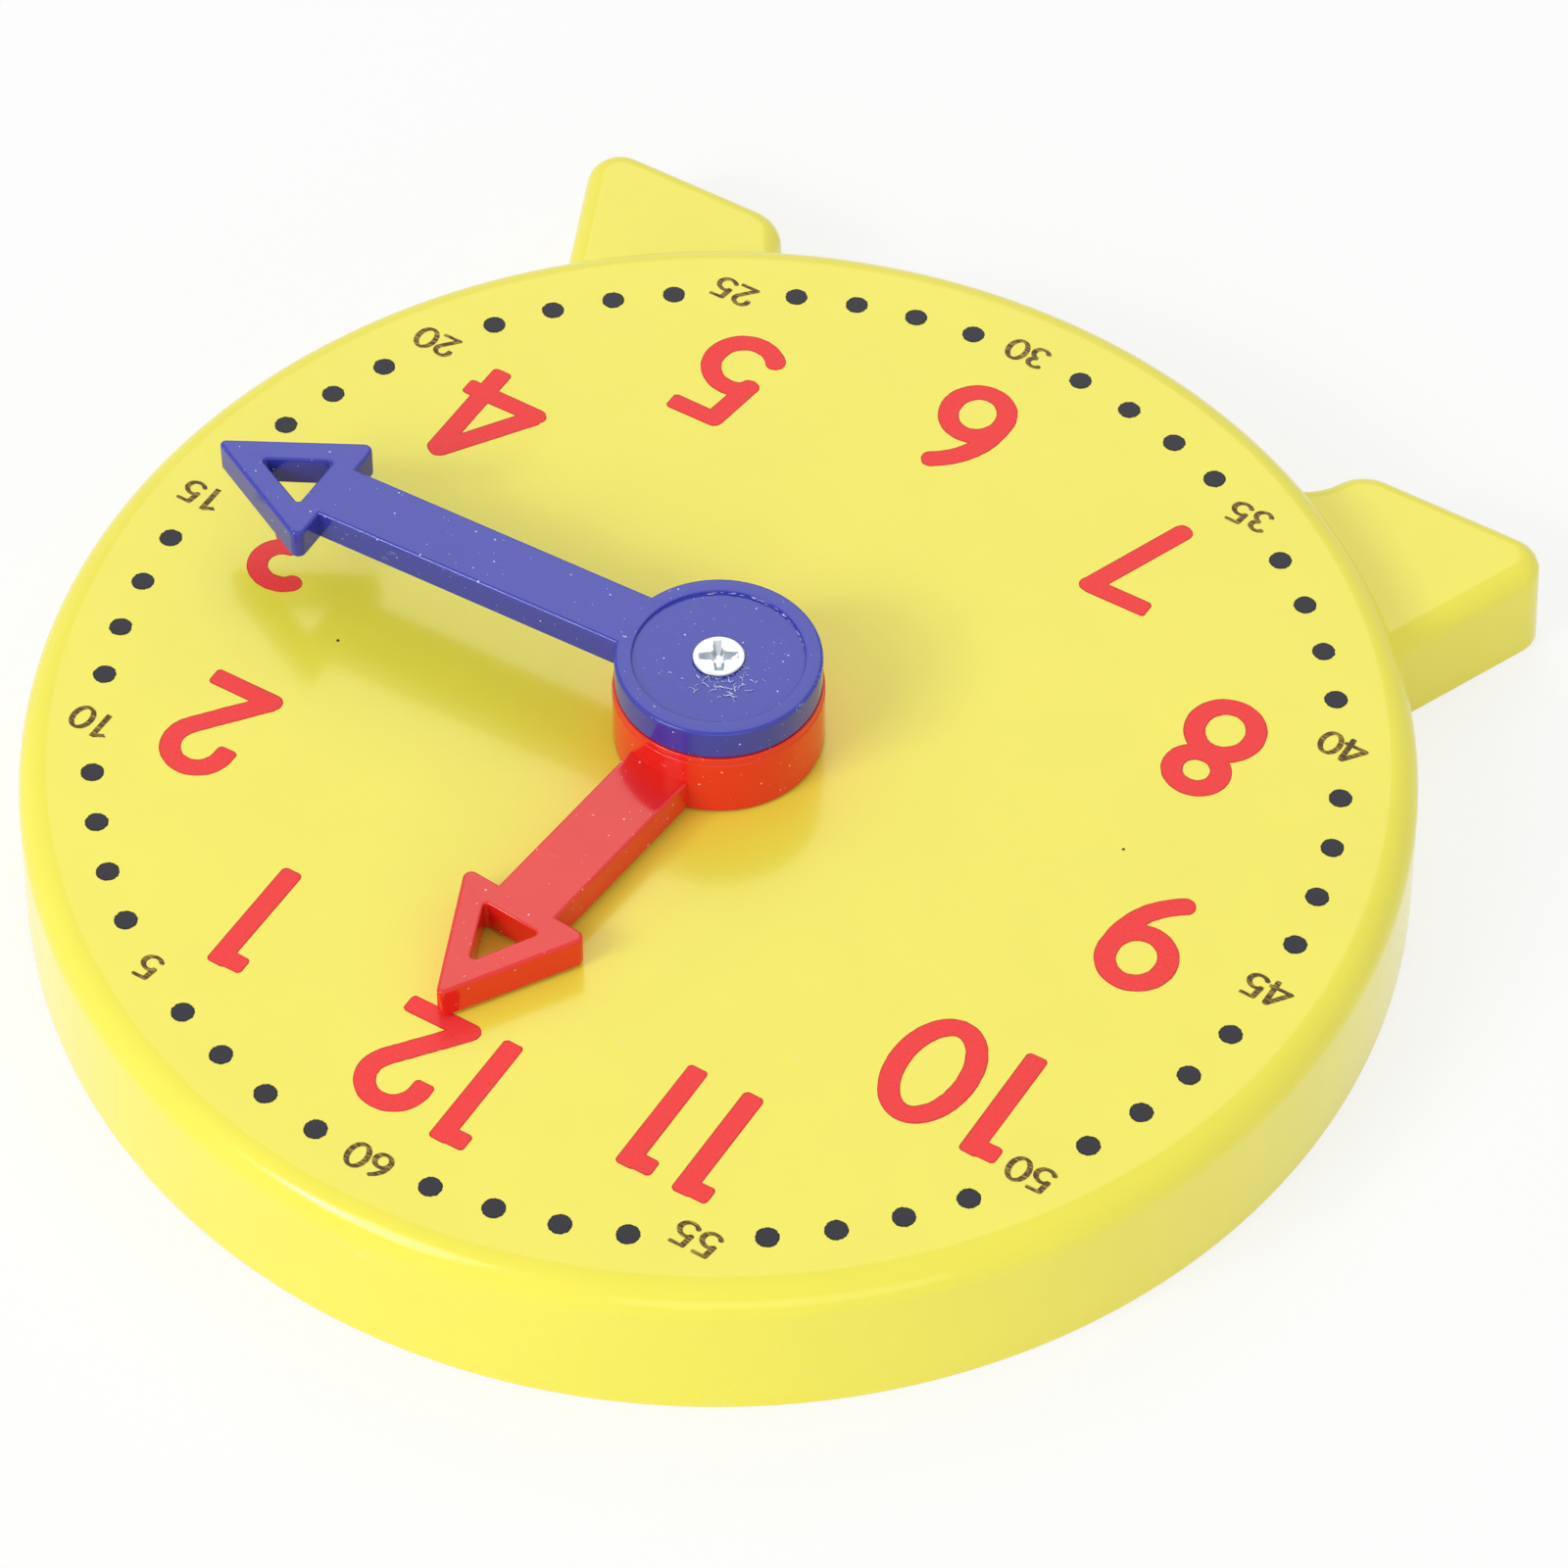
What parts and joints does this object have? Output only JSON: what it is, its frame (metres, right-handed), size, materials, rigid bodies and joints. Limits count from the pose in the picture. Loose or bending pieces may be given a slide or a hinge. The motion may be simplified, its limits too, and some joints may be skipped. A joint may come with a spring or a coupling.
{
  "type": "geared teaching clock",
  "caption": "Round two-hand student clock on two feet; turning the minute hand drives the hour hand through a gear train behind the dial.",
  "frame": {"origin": "on the hands' axis, in the plane of the back rim, on which the clock lies", "axes": "+Z out of the dial along the hands' axis, +Y to 12 o'clock, +X to 3 o'clock"},
  "size_m": [0.1, 0.1003, 0.02],
  "materials": {
    "case_plastic": "smooth moulded, satin gloss",
    "cover_plastic": "fine moulded texture",
    "screw_steel": "zinc plated",
    "pin_steel": "ground",
    "gear_plastic": "natural white moulded",
    "washer_steel": "spring steel",
    "hour_hand_plastic": "smooth moulded, glossy",
    "minute_hand_plastic": "smooth moulded, glossy",
    "hand_screw_steel": "bright zinc plated"
  },
  "bodies": {
    "case": {"case": "case_plastic", "back_cover": "cover_plastic", "cover_screws": "screw_steel", "idler_pin": "pin_steel", "friction_washer": "washer_steel"},
    "minute": {"minute_hand": "minute_hand_plastic", "minute_arbor": "gear_plastic", "hand_screw": "hand_screw_steel"},
    "idler": {"idler_gear": "gear_plastic"},
    "hour": {"hour_hand": "hour_hand_plastic", "hour_wheel": "gear_plastic"}
  },
  "joints": [
    {"name": "minute_spin", "type": "hinge", "parent": "case", "child": "minute", "pos_m": [0, 0, 0.0188], "axis": [0, 0, 1], "continuous": true},
    {"name": "idler_spin", "type": "hinge", "parent": "case", "child": "idler", "pos_m": [0, -0.02, 0.006], "axis": [0, 0, 1], "continuous": true},
    {"name": "hour_spin", "type": "hinge", "parent": "case", "child": "hour", "pos_m": [0, 0, 0.0148], "axis": [0, 0, 1], "continuous": true}
  ],
  "couplings": [
    {"joint": "idler_spin", "follows": "minute_spin", "ratio": -0.33333},
    {"joint": "hour_spin", "follows": "minute_spin", "ratio": 0.083333}
  ]
}
